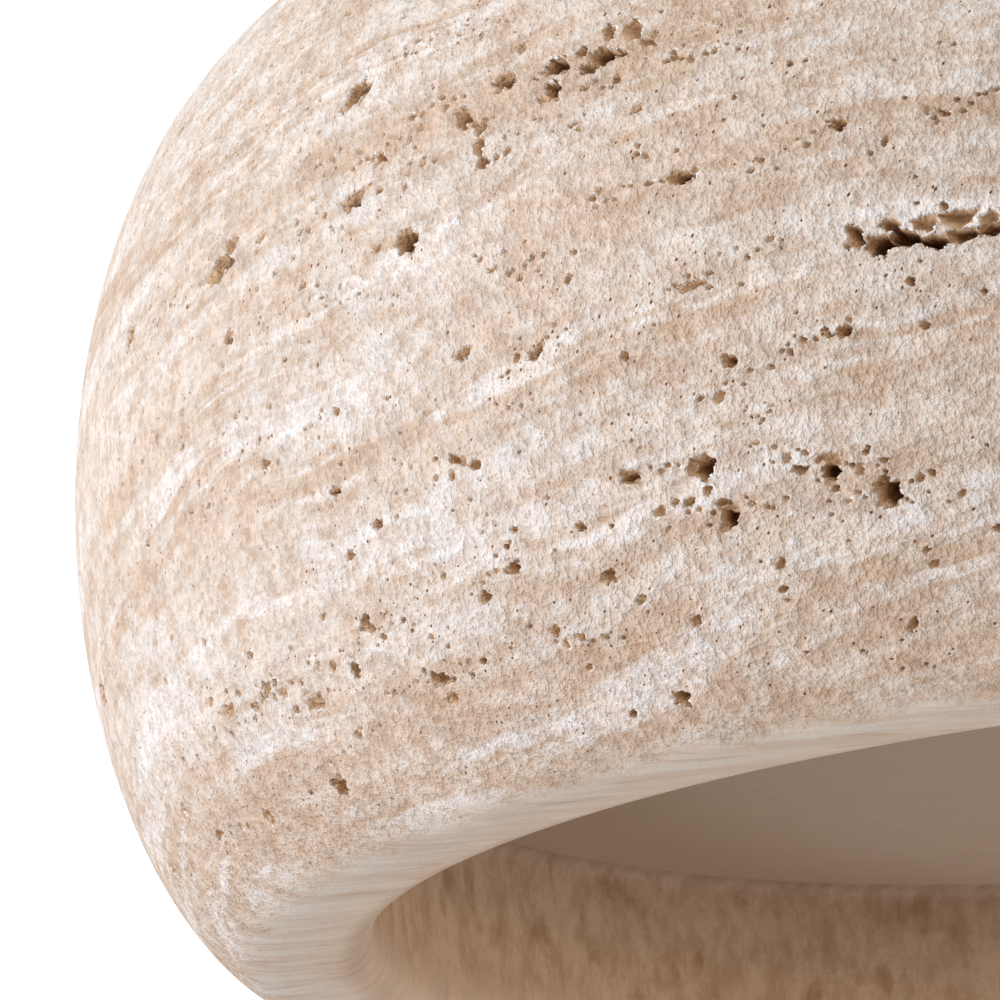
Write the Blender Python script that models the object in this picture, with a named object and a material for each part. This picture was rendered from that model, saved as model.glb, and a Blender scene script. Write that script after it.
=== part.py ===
"""Travertine bowl: one block of banded stone, turned, hollowed and honed.

The bowl stands on its flat base at the world origin, opening upward, with its front
toward -Y. The body is one turned profile: a base face and a rim face joined by a bulging
wall, and a shallow hollow with an upright wall and a flat floor. Natural cavities are
then cut out of the wall: one by one where they sit on the front, and elsewhere in rows
that follow the bedding of the stone.
"""
import math
import random

import bmesh
import bpy
from mathutils import Vector

# Driving dimensions of the turned body, in metres
HEIGHT = 0.113
MAX_RADIUS = 0.150        # at half height
FACE_RADIUS = 0.130       # where the bulge meets the rim face, and the base face
BULGE_DEPTH = 0.0294      # radial half axis of the ellipse that the wall follows
SHOULDER_BLEND = 0.0009   # how softly the bulge runs into the two faces
HOLLOW_RADIUS = 0.1135
HOLLOW_DEPTH = 0.029
RIM_ROUND = 0.005         # rounding from the rim face into the hollow
FLOOR_ROUND = 0.002       # rounding from the hollow's wall into its floor

# Facets
TURN_STEPS = 72
WALL_STEPS = 20
RIM_ROUND_STEPS = 4
FLOOR_ROUND_STEPS = 2

# Bedding: parallel layers, tilted so that they rise toward one side of the back
BEDDING_DIP = math.radians(5.0)
BEDDING_RISE = math.radians(150.0)  # turn from the front toward which they rise

# Cavities on the front, placed one by one: (turn from the front in degrees, height, length,
# height of the mouth, depth, the four in millimetres, and tilt of the length in degrees)
FRONT_CAVITIES = (
    (10.0, 66.5, 18.0, 4.6, 5.0, -5),
    (9.5, 64.5, 9.0, 2.4, 1.6, -5),
    (24.0, 37.0, 6.0, 3.6, 4.5, -10),
    (21.8, 36.4, 5.6, 2.6, 1.8, -12),
    (26.3, 37.0, 3.8, 2.6, 3.5, -10),
    (26.4, 40.0, 2.8, 2.8, 3.0, 0),
    (29.0, 36.5, 3.5, 2.6, 3.0, 10),
    (31.3, 39.5, 2.4, 3.0, 2.5, 0),
    (38.5, 30.4, 5.8, 3.2, 3.2, 40),
    (38.0, 44.3, 4.0, 2.6, 2.8, 0),
    (34.8, 52.0, 3.4, 3.6, 3.8, 0),
    (48.6, 44.0, 8.2, 4.2, 3.2, 28),
    (20.3, 54.5, 4.2, 2.3, 2.8, 0),
    (13.0, 52.5, 2.5, 1.5, 2.0, 0),
    (20.2, 67.0, 3.6, 1.2, 1.5, 5),
    (32.0, 67.3, 3.6, 1.4, 1.8, 12),
    (28.0, 69.6, 3.2, 1.4, 1.8, 20),
    (47.7, 53.5, 2.4, 2.0, 1.8, 30),
    (59.0, 43.8, 3.4, 3.0, 2.5, 0),
    (45.6, 70.6, 2.2, 1.5, 2.0, 0),
    (19.0, 76.0, 1.9, 1.6, 2.0, 0),
    (13.8, 75.3, 2.4, 1.3, 1.8, 10),
    (40.8, 77.0, 2.5, 1.2, 1.6, 5),
    (38.7, 82.4, 2.4, 1.3, 1.8, 5),
    (20.9, 86.3, 3.4, 3.2, 3.5, 0),
    (24.5, 85.5, 2.6, 1.4, 2.0, 10),
    (15.3, 89.3, 2.9, 2.8, 3.3, 0),
    (13.0, 92.6, 3.1, 3.0, 3.5, 0),
    (20.3, 92.0, 2.5, 3.0, 3.0, 0),
    (26.8, 95.0, 2.4, 1.6, 2.2, 0),
    (31.5, 91.5, 2.6, 2.1, 2.6, 0),
    (33.6, 93.7, 2.1, 1.6, 2.0, 0),
    (41.2, 91.9, 2.2, 2.0, 2.2, 0),
    (43.0, 96.0, 2.6, 2.2, 2.4, 0),
    (38.0, 100.2, 3.8, 1.5, 2.4, 0),
    (46.8, 97.8, 4.2, 1.6, 2.0, 0),
    (50.2, 94.0, 2.6, 1.6, 1.8, 20),
    (54.4, 94.2, 3.6, 1.7, 1.8, 10),
    (25.4, 108.2, 2.1, 2.1, 2.3, 0),
    (48.3, 106.7, 3.2, 2.9, 2.6, 0),
    (55.8, 105.9, 2.5, 2.1, 2.2, 0),
    (62.5, 104.4, 3.4, 1.8, 1.8, 5),
)

# Rows of cavities elsewhere: (height of the bed at the bowl's middle, how many)
CAVITY_ROWS = (
    (0.006, 10),
    (0.018, 13),
    (0.031, 13),
    (0.045, 26),
    (0.060, 18),
    (0.075, 22),
    (0.087, 12),
    (0.098, 28),
    (0.107, 16),
    (0.118, 9),
)
ROW_CAVITY_SIZE = (0.0017, 0.0052)
ROW_CAVITY_STRETCH = 1.3   # length along the bed over the size
ROW_MOUTH_SHARE = 0.85     # height of the mouth, and the depth, over the size
ROW_HEIGHT_SPREAD = 0.0025
ROW_TILT_SPREAD = math.radians(12.0)
ROW_CLEARANCE = 0.0065     # least distance from a row's cavity to any other
ROW_SEED = 7
FRONT_SECTOR = (math.radians(4.0), math.radians(70.0))  # turns that the rows leave free

# Shape of one cavity
MOUTH_SIDES = 7
MOUTH_UNEVENNESS = 0.22
FLOOR_SHRINK = 0.62
FLOOR_DRIFT = 0.15        # how far the floor may shift along, as a share of the length
CUTTER_PROUD = 0.0012     # how far a cutter stands out of the wall
PROUD_SPREAD = 1.08

STONE_COLOUR = (0.72, 0.60, 0.49, 1.0)
STONE_ROUGHNESS = 0.62

MILLIMETRE = 0.001


def clear_scene():
    for thing in list(bpy.data.objects):
        bpy.data.objects.remove(thing, do_unlink=True)


def travertine():
    material = bpy.data.materials.new("travertine")
    material.use_nodes = True
    shader = material.node_tree.nodes["Principled BSDF"]
    shader.inputs["Base Color"].default_value = STONE_COLOUR
    shader.inputs["Roughness"].default_value = STONE_ROUGHNESS
    shader.inputs["Metallic"].default_value = 0.0
    return material


def bulge_half_height():
    """Vertical half axis that takes the ellipse through FACE_RADIUS at each face."""
    across = 1.0 - (MAX_RADIUS - FACE_RADIUS) / BULGE_DEPTH
    return HEIGHT / 2 / math.sqrt(1.0 - across ** 2)


def soft_clip(value, limit):
    """Hold a height under the limit, easing into it over SHOULDER_BLEND."""
    over = (value - limit) / SHOULDER_BLEND
    eased = limit - SHOULDER_BLEND * math.log1p(math.exp(-over))
    return min(eased + SHOULDER_BLEND * 0.1, limit)


def wall_point(angle):
    """Radius and height of the outer wall, at an angle on its ellipse."""
    radius = MAX_RADIUS - BULGE_DEPTH * (1.0 - math.cos(angle))
    rise = bulge_half_height() * math.sin(angle)
    height = math.copysign(soft_clip(abs(rise), HEIGHT / 2), rise)
    return radius, HEIGHT / 2 + height


def wall_radius(height):
    """Radius of the plain ellipse at a height."""
    rise = (height - HEIGHT / 2) / bulge_half_height()
    return MAX_RADIUS - BULGE_DEPTH * (1.0 - math.sqrt(1.0 - rise ** 2))


def arc(centre, radius, start, end, steps):
    points = []
    for step in range(steps + 1):
        angle = start + (end - start) * step / steps
        points.append((centre[0] + radius * math.cos(angle),
                       centre[1] + radius * math.sin(angle)))
    return points


def profile():
    """Half section of the bowl, from the middle of the base to the middle of the floor."""
    half_turn = math.pi / 2
    points = [wall_point(-half_turn + math.pi * step / WALL_STEPS)
              for step in range(WALL_STEPS + 1)]
    points += arc((HOLLOW_RADIUS + RIM_ROUND, HEIGHT - RIM_ROUND), RIM_ROUND,
                  half_turn, math.pi, RIM_ROUND_STEPS)
    points += arc((HOLLOW_RADIUS - FLOOR_ROUND, HEIGHT - HOLLOW_DEPTH + FLOOR_ROUND),
                  FLOOR_ROUND, 0.0, -half_turn, FLOOR_ROUND_STEPS)
    return points


def turned_body(name, material):
    """Turn the profile about Z, and close the base and the floor with one face each."""
    mesh = bmesh.new()
    rings = []
    for radius, height in profile():
        ring = []
        for step in range(TURN_STEPS):
            turn = math.tau * step / TURN_STEPS
            ring.append(mesh.verts.new((radius * math.cos(turn),
                                        radius * math.sin(turn), height)))
        rings.append(ring)
    for lower, upper in zip(rings, rings[1:]):
        for step in range(TURN_STEPS):
            after = (step + 1) % TURN_STEPS
            mesh.faces.new((lower[step], lower[after], upper[after], upper[step]))
    mesh.faces.new(tuple(reversed(rings[0])))
    mesh.faces.new(tuple(rings[-1]))
    bmesh.ops.recalc_face_normals(mesh, faces=mesh.faces)
    data = bpy.data.meshes.new(name)
    mesh.to_mesh(data)
    mesh.free()
    data.materials.append(material)
    body = bpy.data.objects.new(name, data)
    bpy.context.scene.collection.objects.link(body)
    return body


def wall_frame(turn, height):
    """Point on the wall, and its directions: outward, around to the right, and up."""
    radial = Vector((math.sin(turn), -math.cos(turn), 0.0))
    around = Vector((math.cos(turn), math.sin(turn), 0.0))
    point = radial * wall_radius(height) + Vector((0.0, 0.0, height))
    slope = (wall_radius(height + MILLIMETRE) - wall_radius(height)) / MILLIMETRE
    upward = (Vector((0.0, 0.0, 1.0)) + radial * slope).normalized()
    return point, around.cross(upward), around, upward


def add_cutter(mesh, dice, turn, height, length, width, depth, tilt):
    """Add one closed cutter: an uneven many-sided mouth that narrows to its floor."""
    point, outward, around, upward = wall_frame(turn, height)
    along = around * math.cos(tilt) + upward * math.sin(tilt)
    across = outward.cross(along)
    reach = [1.0 + dice.uniform(-MOUTH_UNEVENNESS, MOUTH_UNEVENNESS)
             for _ in range(MOUTH_SIDES)]
    spin = dice.uniform(0.0, math.tau)
    drift = along * dice.uniform(-FLOOR_DRIFT, FLOOR_DRIFT) * length
    rings = []
    for offset, spread, shift in ((CUTTER_PROUD, PROUD_SPREAD, 0.0),
                                  (-depth, FLOOR_SHRINK, 1.0)):
        ring = []
        for side in range(MOUTH_SIDES):
            angle = spin + math.tau * side / MOUTH_SIDES
            size = reach[side] * spread / 2
            ring.append(mesh.verts.new(point + outward * offset + drift * shift
                                       + along * (math.cos(angle) * length * size)
                                       + across * (math.sin(angle) * width * size)))
        rings.append(ring)
    top, floor = rings
    for side in range(MOUTH_SIDES):
        after = (side + 1) % MOUTH_SIDES
        mesh.faces.new((floor[side], floor[after], top[after], top[side]))
    mesh.faces.new(tuple(top))
    mesh.faces.new(tuple(reversed(floor)))


def bed_height(middle, turn):
    """Height at which a bed meets the wall, at a turn from the front."""
    return middle + math.tan(BEDDING_DIP) * MAX_RADIUS * math.cos(turn - BEDDING_RISE)


def bed_tilt(turn):
    """Slope of the beds along the wall, at a turn from the front."""
    return math.atan(math.tan(BEDDING_DIP) * math.sin(BEDDING_RISE - turn))


def row_cavities(dice, taken):
    """Cavities strung along the beds, clear of the places already taken."""
    cavities = []
    smallest, largest = ROW_CAVITY_SIZE
    for middle, count in CAVITY_ROWS:
        for index in range(count):
            turn = math.tau * (index + dice.uniform(0.1, 0.9)) / count
            height = (bed_height(middle, turn)
                      + dice.uniform(-ROW_HEIGHT_SPREAD, ROW_HEIGHT_SPREAD))
            size = smallest + (largest - smallest) * dice.random() ** 2
            tilt = bed_tilt(turn) + dice.uniform(-ROW_TILT_SPREAD, ROW_TILT_SPREAD)
            if FRONT_SECTOR[0] < turn < FRONT_SECTOR[1]:
                continue
            if not size * 2 < height < HEIGHT - size * 2:
                continue
            point = wall_frame(turn, height)[0]
            if all((point - other).length > ROW_CLEARANCE for other in taken):
                taken.append(point)
                mouth = size * ROW_MOUTH_SHARE
                cavities.append((turn, height, size * ROW_CAVITY_STRETCH, mouth, mouth, tilt))
    return cavities


def cavity_cutter(name):
    """All the cavity cutters in one object, hidden from the render."""
    dice = random.Random(ROW_SEED)
    cavities = [(math.radians(turn), *(value * MILLIMETRE for value in sizes),
                 math.radians(tilt)) for turn, *sizes, tilt in FRONT_CAVITIES]
    taken = [wall_frame(turn, height)[0] for turn, height, *_ in cavities]
    cavities += row_cavities(dice, taken)
    mesh = bmesh.new()
    for cavity in cavities:
        add_cutter(mesh, dice, *cavity)
    bmesh.ops.recalc_face_normals(mesh, faces=mesh.faces)
    data = bpy.data.meshes.new(name)
    mesh.to_mesh(data)
    mesh.free()
    cutter = bpy.data.objects.new(name, data)
    bpy.context.scene.collection.objects.link(cutter)
    cutter.hide_render = True
    cutter.display_type = 'WIRE'
    return cutter


def main():
    clear_scene()
    bowl = turned_body("bowl", travertine())
    bowl.data.shade_smooth()
    bowl.data.set_sharp_from_angle(angle=math.radians(40.0))
    cut = bowl.modifiers.new("cavities", 'BOOLEAN')
    cut.operation = 'DIFFERENCE'
    cut.solver = 'EXACT'
    cut.use_self = True
    cut.object = cavity_cutter("cavity_cutter")


main()
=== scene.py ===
"""Travertine bowl: the looks of one thick-walled bowl turned from banded, porous stone.

The skin is one closed surface over two parameters: the turn from the front (-Y) and the
distance run along the profile, from the base up the wall, over the rim and down into the
hollow. Cavities are sunk into it along its normal.
"""
import math
import random

import bpy
import numpy as np
from bpy.props import FloatProperty, FloatVectorProperty, IntProperty, PointerProperty
from mathutils import Matrix, Vector
from mathutils.geometry import delaunay_2d_cdt


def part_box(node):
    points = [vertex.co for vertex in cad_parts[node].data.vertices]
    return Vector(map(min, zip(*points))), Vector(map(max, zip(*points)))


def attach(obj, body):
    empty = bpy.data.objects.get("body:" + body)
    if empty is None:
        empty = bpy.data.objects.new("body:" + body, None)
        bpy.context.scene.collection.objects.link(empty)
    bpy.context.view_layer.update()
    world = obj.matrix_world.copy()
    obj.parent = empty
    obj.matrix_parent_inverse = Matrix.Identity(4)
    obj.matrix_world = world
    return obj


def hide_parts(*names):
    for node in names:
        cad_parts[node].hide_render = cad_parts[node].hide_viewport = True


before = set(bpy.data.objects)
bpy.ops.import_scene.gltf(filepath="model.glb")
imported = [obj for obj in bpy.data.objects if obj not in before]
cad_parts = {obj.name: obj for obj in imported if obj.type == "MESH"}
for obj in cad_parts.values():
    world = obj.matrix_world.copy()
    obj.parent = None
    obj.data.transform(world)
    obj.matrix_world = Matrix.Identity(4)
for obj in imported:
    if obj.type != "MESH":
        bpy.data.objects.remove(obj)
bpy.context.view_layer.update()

bl_info = {
    "name": "Travertine Bowl",
    "version": (1, 0, 0),
    "blender": (4, 5, 0),
    "location": "3D View > Sidebar > Bowl",
    "description": "Builds the porous stone skin of a turned travertine bowl and its studio",
    "category": "Object",
}

MILLIMETRE = 0.001

# Turned form, as the solid has it
BOX_LOW, BOX_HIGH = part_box("bowl")
HEIGHT = BOX_HIGH[2] - BOX_LOW[2]
MAX_RADIUS = (BOX_HIGH[0] - BOX_LOW[0]) / 2
FACE_RADIUS = 0.130
BULGE_DEPTH = 0.0294
SHOULDER_BLEND = 0.0009
HOLLOW_RADIUS = 0.1135
HOLLOW_DEPTH = 0.029
RIM_ROUND = 0.005
FLOOR_ROUND = 0.002

# Bedding of the stone, as the solid has it
BEDDING_DIP = math.radians(5.0)
BEDDING_RISE = math.radians(150.0)

# Cavities on the front, as the solid has them: (turn in degrees, height, length, height of
# the mouth, depth, the four in millimetres, and tilt of the length in degrees)
FRONT_CAVITIES = (
    (10, 66.5, 18, 4.6, 5, -5), (9.5, 64.5, 9, 2.4, 1.6, -5), (24, 37, 6, 3.6, 4.5, -10),
    (21.8, 36.4, 5.6, 2.6, 1.8, -12), (26.3, 37, 3.8, 2.6, 3.5, -10),
    (26.4, 40, 2.8, 2.8, 3, 0), (29, 36.5, 3.5, 2.6, 3, 10), (31.3, 39.5, 2.4, 3, 2.5, 0),
    (38.5, 30.4, 5.8, 3.2, 3.2, 40), (38, 44.3, 4, 2.6, 2.8, 0), (34.8, 52, 3.4, 3.6, 3.8, 0),
    (48.6, 44, 8.2, 4.2, 3.2, 28), (20.3, 54.5, 4.2, 2.3, 2.8, 0), (13, 52.5, 2.5, 1.5, 2, 0),
    (20.2, 67, 3.6, 1.2, 1.5, 5), (32, 67.3, 3.6, 1.4, 1.8, 12), (28, 69.6, 3.2, 1.4, 1.8, 20),
    (47.7, 53.5, 2.4, 2, 1.8, 30), (59, 43.8, 3.4, 3, 2.5, 0), (45.6, 70.6, 2.2, 1.5, 2, 0),
    (19, 76, 1.9, 1.6, 2, 0), (13.8, 75.3, 2.4, 1.3, 1.8, 10), (40.8, 77, 2.5, 1.2, 1.6, 5),
    (38.7, 82.4, 2.4, 1.3, 1.8, 5), (20.9, 86.3, 3.4, 3.2, 3.5, 0),
    (24.5, 85.5, 2.6, 1.4, 2, 10), (15.3, 89.3, 2.9, 2.8, 3.3, 0), (13, 92.6, 3.1, 3, 3.5, 0),
    (20.3, 92, 2.5, 3, 3, 0), (26.8, 95, 2.4, 1.6, 2.2, 0), (31.5, 91.5, 2.6, 2.1, 2.6, 0),
    (33.6, 93.7, 2.1, 1.6, 2, 0), (41.2, 91.9, 2.2, 2, 2.2, 0), (43, 96, 2.6, 2.2, 2.4, 0),
    (38, 100.2, 3.8, 1.5, 2.4, 0), (46.8, 97.8, 4.2, 1.6, 2, 0), (50.2, 94, 2.6, 1.6, 1.8, 20),
    (54.4, 94.2, 3.6, 1.7, 1.8, 10), (25.4, 108.2, 2.1, 2.1, 2.3, 0),
    (48.3, 106.7, 3.2, 2.9, 2.6, 0), (55.8, 105.9, 2.5, 2.1, 2.2, 0),
    (62.5, 104.4, 3.4, 1.8, 1.8, 5),
)

# The first four of those are made of these pockets: the widest one, then the deep one near
# the base with the scallops beside it
POCKETED = 4
POCKETS = (
    (11.9, 67, 3.8, 2.9, 5, 0), (12.8, 65.4, 1.8, 3.6, 2.2, 15),
    (10.8, 66.6, 4.6, 2.4, 4.2, -10), (9.5, 67.4, 4.6, 1.9, 4.6, 0),
    (8.3, 67.4, 4.8, 1.7, 3.4, 0), (7.2, 67.1, 3.4, 1.9, 2.6, -10),
    (6.3, 67.4, 2.4, 1.5, 2, 0), (11.3, 64.9, 2.6, 2, 2.2, 0), (9.8, 65.2, 4, 2.2, 1.5, 0),
    (8.5, 65.4, 5.4, 2.8, 1.7, -5), (7.2, 66, 3, 1.6, 1.3, 0), (9, 64, 1.2, 1.4, 1, 60),
    (23.8, 37.6, 4.7, 2.8, 4.6, -12), (24.5, 38.4, 2.5, 2.1, 3.2, 0),
    (24.9, 36.1, 2, 1.6, 2.5, 0), (22.9, 37.8, 2.4, 1, 2.5, -10),
    (23.6, 34.9, 1.9, 2.8, 1.5, 0), (22.4, 35.3, 2.9, 2.8, 1.5, 0),
    (21.7, 37.2, 2.9, 1.5, 1.4, -10), (21.2, 36.4, 1.8, 1.3, 1, 0),
)

# Chains of pits on the front: (turn and height at one end, turn and height at the other,
# how many, smallest and largest size in millimetres)
CHAINS = (
    (20.5, 79, 13, 74.5, 13, 0.9, 1.6), (24.8, 84.5, 21, 86.5, 8, 0.8, 1.5),
    (23.8, 89, 17.5, 91.5, 15, 0.9, 1.9), (18.8, 82.5, 17.3, 81.5, 10, 0.5, 0.9),
    (18.8, 85.5, 11, 91.5, 20, 0.7, 1.4), (16, 91.5, 9.5, 95.5, 10, 0.7, 1.2),
    (61, 97.5, 44.5, 94, 22, 1, 2), (57, 91.5, 45, 98.5, 14, 1, 1.8),
    (42, 99.8, 34.5, 99.5, 11, 0.9, 1.5), (41, 92.5, 36, 95.5, 9, 0.8, 1.3),
    (35, 78, 31.5, 79.8, 6, 1, 1.6), (31, 74.5, 28, 75, 7, 0.6, 1),
    (30, 70.5, 26, 67, 7, 0.8, 1.4), (21, 67, 15.5, 64, 10, 0.8, 1.3),
    (17.5, 56.5, 12.8, 51.8, 10, 0.7, 1.2), (9.6, 54.5, 6, 51.5, 11, 0.8, 1.5),
    (30.6, 45, 30, 41, 5, 1, 1.6), (40.5, 38.5, 33.5, 41.5, 8, 0.8, 1.5),
    (29.5, 43.5, 25.5, 44, 7, 0.7, 1.3), (34.5, 92.5, 30.5, 88.5, 9, 0.8, 1.3),
    (31, 99.5, 27, 101.5, 7, 0.9, 1.5), (63, 105.5, 58, 106, 6, 1.2, 1.8),
    (48, 104.5, 43, 101, 8, 0.8, 1.4), (52, 73.5, 44, 70, 9, 0.6, 1.2),
    (43, 77.5, 34, 81, 10, 0.5, 1.1), (22, 39, 17, 41, 9, 0.7, 1.3),
    (16.5, 107.5, 11.5, 110, 7, 0.5, 1), (41.6, 37.4, 39.1, 37.5, 5, 1, 1.6),
    (38.3, 37.8, 36, 40.1, 4, 0.9, 1.4), (34.7, 36.7, 31.2, 37, 8, 1, 1.6),
    (36.1, 37.7, 33.6, 38.4, 4, 0.9, 1.6), (34.5, 44, 32.6, 44.1, 4, 0.9, 1.3),
    (24.9, 39.5, 23.3, 42.6, 4, 0.9, 1.5), (25.5, 45.4, 24.7, 44.3, 4, 0.7, 1.2),
    (24.8, 54.2, 21.4, 54.2, 8, 0.7, 1.4), (22.4, 50.9, 21.6, 50.5, 4, 0.9, 1.5),
    (20.7, 39.5, 19.2, 40.9, 4, 1, 1.6), (32.3, 28.5, 28.6, 29.4, 8, 0.7, 1.3),
    (36.9, 26.5, 33, 28.3, 6, 0.8, 1.4), (41.6, 53.9, 35.3, 58.4, 9, 0.7, 1.2),
    (30.6, 58, 28.8, 60.3, 4, 0.9, 1.4), (28.8, 60.3, 27.1, 59.2, 6, 0.9, 1.5),
    (42.3, 68.7, 40.6, 68.6, 4, 0.8, 1.2), (48.8, 67.5, 44.7, 68.5, 6, 0.8, 1.4),
    (52.7, 69.7, 49.9, 70, 3, 0.9, 1.4), (36.8, 76.6, 35.8, 78.5, 3, 0.8, 1.2),
    (55.1, 43.9, 51.5, 46.1, 3, 1.2, 1.8), (42.3, 42.7, 41.6, 47.2, 4, 0.8, 1.3),
    (40.7, 44.9, 38.7, 47.5, 4, 0.8, 1.3), (48.9, 63.9, 46.2, 63.9, 5, 0.7, 1.2),
    (48.2, 54.2, 48.4, 59.9, 3, 0.9, 1.2),
)

# Single small pits on the front: (turn, height, size in millimetres)
SMALL_PITS = (
    (30.3, 41.6, 1.9), (30.4, 43.6, 1.9), (30.2, 45.8, 2), (29.4, 45.8, 1.2),
    (28.8, 45.5, 1.3), (36.5, 51.5, 1.5), (25.6, 59.8, 1), (26, 62.6, 1.3), (44.9, 43.1, 1.6),
    (45.1, 49.5, 1), (42.3, 47.7, 1.1), (43.6, 48.6, 1.2), (41.6, 52, 1.4), (39, 54.1, 1),
    (55.9, 92.1, 1.4), (40.9, 62.2, 1), (40, 68.4, 1.5), (44.6, 64.4, 1), (36.3, 44.4, 1.3),
    (34.7, 45.4, 1), (52.6, 63, 1.1), (54.2, 85.9, 1.3), (60, 86.9, 1.4), (50.5, 90.1, 1.5),
    (10.2, 51, 0.9), (11.8, 56.5, 0.9), (15, 44.2, 1), (8.7, 53.4, 1), (17.6, 46.8, 0.9),
    (33.4, 78.3, 1.5), (32.9, 78.9, 1.4), (32.3, 79.6, 1.6),
)

CHAIN_SIZE = 0.8 * MILLIMETRE
CHAIN_SCATTER = 0.7        # of a chain's pits across it, in millimetres
SMALL_LEAN = (0.35, 0.4)   # mean and spread of a small pit's lean, in radians
FINE_LEAN = (0.35, 0.45)

# Bites into a cavity's lip: their size over its mouth, and their distance from its middle
# over its length and mouth
BITE_SIZE = (0.28, 0.55)
BITE_PLACE = 0.47

# Fine pits: the share of them that crowds along the beds, their scatter across a bed, the
# height of its waves, their sizes, and the margin that they leave at the wall's ends
BEDDED_SHARE = 0.6
BEDDED_SCATTER = 0.0022
BED_WAVE = 0.0018
FINE_SIZE = (0.00055, 0.00155)
END_MARGIN = 0.003

# Rows of cavities elsewhere, as the solid has them
CAVITY_ROWS = (
    (0.006, 10), (0.018, 13), (0.031, 13), (0.045, 26), (0.06, 18), (0.075, 22), (0.087, 12),
    (0.098, 28), (0.107, 16), (0.118, 9),
)
ROW_CAVITY_SIZE = (0.0017, 0.0052)
ROW_CAVITY_STRETCH = 1.3   # length along the bed over the size
ROW_MOUTH_SHARE = 0.85     # height of the mouth, and the depth, over the size
ROW_HEIGHT_SPREAD = 0.0025
ROW_TILT_SPREAD = math.radians(12.0)
ROW_CLEARANCE = 0.0065     # least distance from a row's cavity to any other
ROW_SEED = 7
FRONT_SECTOR = (math.radians(4.0), math.radians(70.0))  # turns that the rows leave free

# Spacing of the skin's points
COLUMNS = 192
WALL_SPACING = 0.0034
CREASE_SPACING = 0.0011
UNROLL_RADIUS = 0.14      # radius that turns become lengths at, where the skin is unrolled
SEAM_MARGIN = 0.03        # turn kept clear of pits on each side of the seam at the back
LARGE_PIT = 0.0017        # sizes from which a pit gets more rings of points
MIDDLE_PIT = 0.0009
LIP_SPACING = 0.00045     # along the lip of a large pit
FILL_SPACING = 0.00048    # inside a large pit
FILL_REACH = 0.88         # share of the way to the lip that those points reach
CLEAR_SHARE = 1.4         # share of the way to a lip beyond which plain points stay
BASE_CREASE = 0.006       # heights that the close rows at the base and the rim take up
RIM_CREASE = 0.007
HOLLOW_SPACING = 0.0028
SKIN_SEED = 20

# Shape of one pit
CORNERS = 6
CORNER_REACH = (0.70, 1.28)
EDGE_DIP = 0.12           # share by which a lip is drawn in midway between corners
DEEP_SIDE = math.radians(150.0)  # side of a pit that is steep, from the right toward up
DEEP_SIDE_SPREAD = math.radians(45.0)
DEEP_SHIFT = (0.30, 0.58)

# Looks of the stone
FULL_DEPTH = 0.003        # depth at which the mask of the pits is full
DASH_LEAN = math.radians(50.0)  # of the pinholes, from level
DASH_SQUEEZE = 0.38       # share taken off their length's coordinate
RELIEF_HEIGHT = 1.2 * MILLIMETRE
POLISHED_ROUGHNESS = 0.45
WHITE_VEIN = (0.82, 0.765, 0.72)
WARM_TO_COOL = ((1.035, 0.99, 0.95), (0.975, 1.004, 1.03))
# Painted shade and painted highlight: multipliers for the colour in the relief's crevices and
# on its heights.
PAINTED_SHADE_TO_HIGHLIGHT = ((0.78, 0.68, 0.60), (1.075, 1.095, 1.115))
# Painted highlight on the lip of each pit's steep side.
PAINTED_LIP_HIGHLIGHT = (1.0, 0.97, 0.93)
# Painted shade of the pinholes, which the skin has no holes for: the dots' edge and their
# heart.
PAINTED_PINHOLE_SHADE_EDGE = (0.42, 0.215, 0.11)
PAINTED_PINHOLE_SHADE_HEART = (0.13, 0.05, 0.018)
RIM_FACE = (0.77, 0.70, 0.63)
RIM_ROLL = (0.80, 0.59, 0.435)
RIM_BAND = (0.645, 0.505, 0.40)
RIM_LINE = (0.50, 0.34, 0.235)
# The hollow's wall and floor: the polished stone's darker, warmer tone with painted shade on
# top; the stains are the stone's own.
HOLLOW_WALL_TONE_AND_SHADE = (0.55, 0.39, 0.27)
HOLLOW_STAIN = (0.33, 0.19, 0.102)
HOLLOW_FLOOR_TONE_AND_SHADE = (0.345, 0.25, 0.182)

# Where finishes give way to each other: runs past the shoulder, in centimetres. The rim is
# flat to 1.15 and rolls in to 1.93; the hollow's wall goes on to 4.13, its foot to 4.45
POLISH_STARTS = (-0.3, 0.3)
HOLLOW_STARTS = (1.6, 2.6)
FLOOR_STARTS = (4.38, 4.5)

# Studio: each light's name, place, size and colour
LIGHTS = (
    ("key_light", (1.1, -0.45, 0.5), 0.8, (0.915, 0.98, 1.10)),
    ("fill_light", (-0.7, -1.1, 0.3), 0.8, (1.0, 0.82, 0.67)),
    ("rim_light", (-0.9, 0.0, 1.0), 0.6, (1.0, 0.95, 0.90)),
)
WORLD_COLOUR = (1.0, 0.87, 0.75)
WORLD_STRENGTH = 0.22

# Camera
LENS = 180.0
SENSOR = 36.0
CAMERA_PLACE = (0.0, -0.650, 0.243)
CAMERA_YAW = math.radians(8.26)
CAMERA_PITCH = math.radians(16.67)
CAMERA_ROLL = math.radians(180.0 - 3.69)


def colour_setting(name, description, default):
    return FloatVectorProperty(name=name, description=description, default=default,
                               subtype='COLOR', size=3, min=0.0, max=1.0)


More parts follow.
